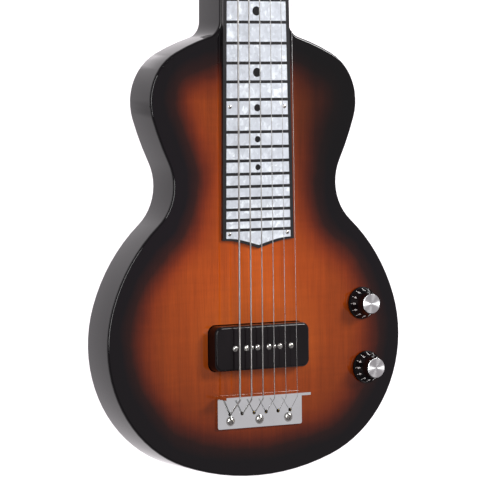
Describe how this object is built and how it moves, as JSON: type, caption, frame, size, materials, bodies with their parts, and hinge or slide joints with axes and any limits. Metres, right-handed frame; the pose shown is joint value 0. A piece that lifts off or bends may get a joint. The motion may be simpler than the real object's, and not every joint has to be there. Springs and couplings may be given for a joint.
{
  "type": "lap steel guitar",
  "caption": "Solid-body electric lap steel guitar with a figure-eight body, square neck, pearloid fingerboard, raised strings, bent bridge plate, pickup, two knobs and geared tuners.",
  "frame": {"origin": "under the middle of the whole length, on the centre line, on the plane of the back", "axes": "+Z out of the face, +Y along the strings towards the head, +X towards the treble side"},
  "size_m": [0.2624, 0.7992, 0.0487],
  "materials": {
    "sunburst_wood": "gloss lacquer",
    "black_board": "satin",
    "pearloid": "polished",
    "dot_black": "satin",
    "nickel_screw": "polished",
    "nut_steel": "satin",
    "wound_string": "wound",
    "plain_string": "polished",
    "brass_ball": "plain",
    "bridge_chrome": "mirror",
    "pickup_black": "gloss",
    "bobbin_plastic": "matte",
    "coil_copper": "enamelled wire",
    "magnet": "rough",
    "baseplate": "plain",
    "knob_black": "gloss",
    "knob_cap": "spun",
    "steel_shaft": "plain",
    "pot_steel": "plated",
    "capacitor_body": "gloss",
    "wire_cloth": "woven",
    "jack_nickel": "plated",
    "cover_plastic": "satin",
    "tuner_nickel": "plated",
    "gear_brass": "worn",
    "button_pearl": "gloss"
  },
  "bodies": {
    "root": {"body": "sunburst_wood", "fingerboard": "black_board", "pearl_blocks": "pearloid", "position_dots": "dot_black", "board_screws": "nickel_screw", "nut": "nut_steel", "wound_strings": "wound_string", "plain_strings": "plain_string", "ball_ends": "brass_ball", "bridge_plate": "bridge_chrome", "bridge_screws": "nickel_screw", "pickup_cover": "pickup_black", "pole_screws": "nickel_screw", "pickup_screws": "nickel_screw", "pickup_baseplate": "baseplate", "pickup_bobbin": "bobbin_plastic", "pickup_coil": "coil_copper", "pickup_magnets": "magnet", "pot_cases": "pot_steel", "pot_nuts": "jack_nickel", "capacitor": "capacitor_body", "hookup_wires": "wire_cloth", "output_jack": "jack_nickel", "jack_nut": "jack_nickel", "control_cover": "cover_plastic", "cover_screws": "nickel_screw", "tuner_plates": "tuner_nickel", "tuner_screws": "nickel_screw", "post_bushings": "tuner_nickel"},
    "volume_control": {"volume_knob": "knob_black", "volume_knob_cap": "knob_cap", "volume_shaft": "steel_shaft"},
    "tone_control": {"tone_knob": "knob_black", "tone_knob_cap": "knob_cap", "tone_shaft": "steel_shaft"},
    "tuner_key_1": {"key_1": "tuner_nickel", "button_1": "button_pearl"},
    "tuner_post_1": {"post_1": "tuner_nickel", "cog_1": "gear_brass"},
    "tuner_key_2": {"key_2": "tuner_nickel", "button_2": "button_pearl"},
    "tuner_post_2": {"post_2": "tuner_nickel", "cog_2": "gear_brass"},
    "tuner_key_3": {"key_3": "tuner_nickel", "button_3": "button_pearl"},
    "tuner_post_3": {"post_3": "tuner_nickel", "cog_3": "gear_brass"},
    "tuner_key_4": {"key_4": "tuner_nickel", "button_4": "button_pearl"},
    "tuner_post_4": {"post_4": "tuner_nickel", "cog_4": "gear_brass"},
    "tuner_key_5": {"key_5": "tuner_nickel", "button_5": "button_pearl"},
    "tuner_post_5": {"post_5": "tuner_nickel", "cog_5": "gear_brass"},
    "tuner_key_6": {"key_6": "tuner_nickel", "button_6": "button_pearl"},
    "tuner_post_6": {"post_6": "tuner_nickel", "cog_6": "gear_brass"}
  },
  "joints": [
    {"name": "volume_turn", "type": "hinge", "parent": "root", "child": "volume_control", "pos_m": [0.0951, -0.27037, 0.033], "axis": [0, 0, 1], "range_deg": [-150, 150]},
    {"name": "tone_turn", "type": "hinge", "parent": "root", "child": "tone_control", "pos_m": [0.0989, -0.32098, 0.033], "axis": [0, 0, 1], "range_deg": [-150, 150]},
    {"name": "key_1_turn", "type": "hinge", "parent": "root", "child": "tuner_key_1", "pos_m": [-0.024, 0.27923, 0.0124], "axis": [1, 0, 0], "continuous": true},
    {"name": "post_1_turn", "type": "hinge", "parent": "root", "child": "tuner_post_1", "pos_m": [-0.024, 0.26963, 0.0124], "axis": [0, 0, 1], "continuous": true},
    {"name": "key_2_turn", "type": "hinge", "parent": "root", "child": "tuner_key_2", "pos_m": [-0.024, 0.31922, 0.0124], "axis": [1, 0, 0], "continuous": true},
    {"name": "post_2_turn", "type": "hinge", "parent": "root", "child": "tuner_post_2", "pos_m": [-0.024, 0.30962, 0.0124], "axis": [0, 0, 1], "continuous": true},
    {"name": "key_3_turn", "type": "hinge", "parent": "root", "child": "tuner_key_3", "pos_m": [-0.024, 0.35923, 0.0124], "axis": [1, 0, 0], "continuous": true},
    {"name": "post_3_turn", "type": "hinge", "parent": "root", "child": "tuner_post_3", "pos_m": [-0.024, 0.34963, 0.0124], "axis": [0, 0, 1], "continuous": true},
    {"name": "key_4_turn", "type": "hinge", "parent": "root", "child": "tuner_key_4", "pos_m": [0.024, 0.27923, 0.0124], "axis": [1, 0, 0], "continuous": true},
    {"name": "post_4_turn", "type": "hinge", "parent": "root", "child": "tuner_post_4", "pos_m": [0.024, 0.26963, 0.0124], "axis": [0, 0, 1], "continuous": true},
    {"name": "key_5_turn", "type": "hinge", "parent": "root", "child": "tuner_key_5", "pos_m": [0.024, 0.31922, 0.0124], "axis": [1, 0, 0], "continuous": true},
    {"name": "post_5_turn", "type": "hinge", "parent": "root", "child": "tuner_post_5", "pos_m": [0.024, 0.30962, 0.0124], "axis": [0, 0, 1], "continuous": true},
    {"name": "key_6_turn", "type": "hinge", "parent": "root", "child": "tuner_key_6", "pos_m": [0.024, 0.35923, 0.0124], "axis": [1, 0, 0], "continuous": true},
    {"name": "post_6_turn", "type": "hinge", "parent": "root", "child": "tuner_post_6", "pos_m": [0.024, 0.34963, 0.0124], "axis": [0, 0, 1], "continuous": true}
  ],
  "couplings": [
    {"joint": "post_1_turn", "follows": "key_1_turn", "ratio": 0.071429},
    {"joint": "post_2_turn", "follows": "key_2_turn", "ratio": 0.071429},
    {"joint": "post_3_turn", "follows": "key_3_turn", "ratio": 0.071429},
    {"joint": "post_4_turn", "follows": "key_4_turn", "ratio": 0.071429},
    {"joint": "post_5_turn", "follows": "key_5_turn", "ratio": 0.071429},
    {"joint": "post_6_turn", "follows": "key_6_turn", "ratio": 0.071429}
  ]
}
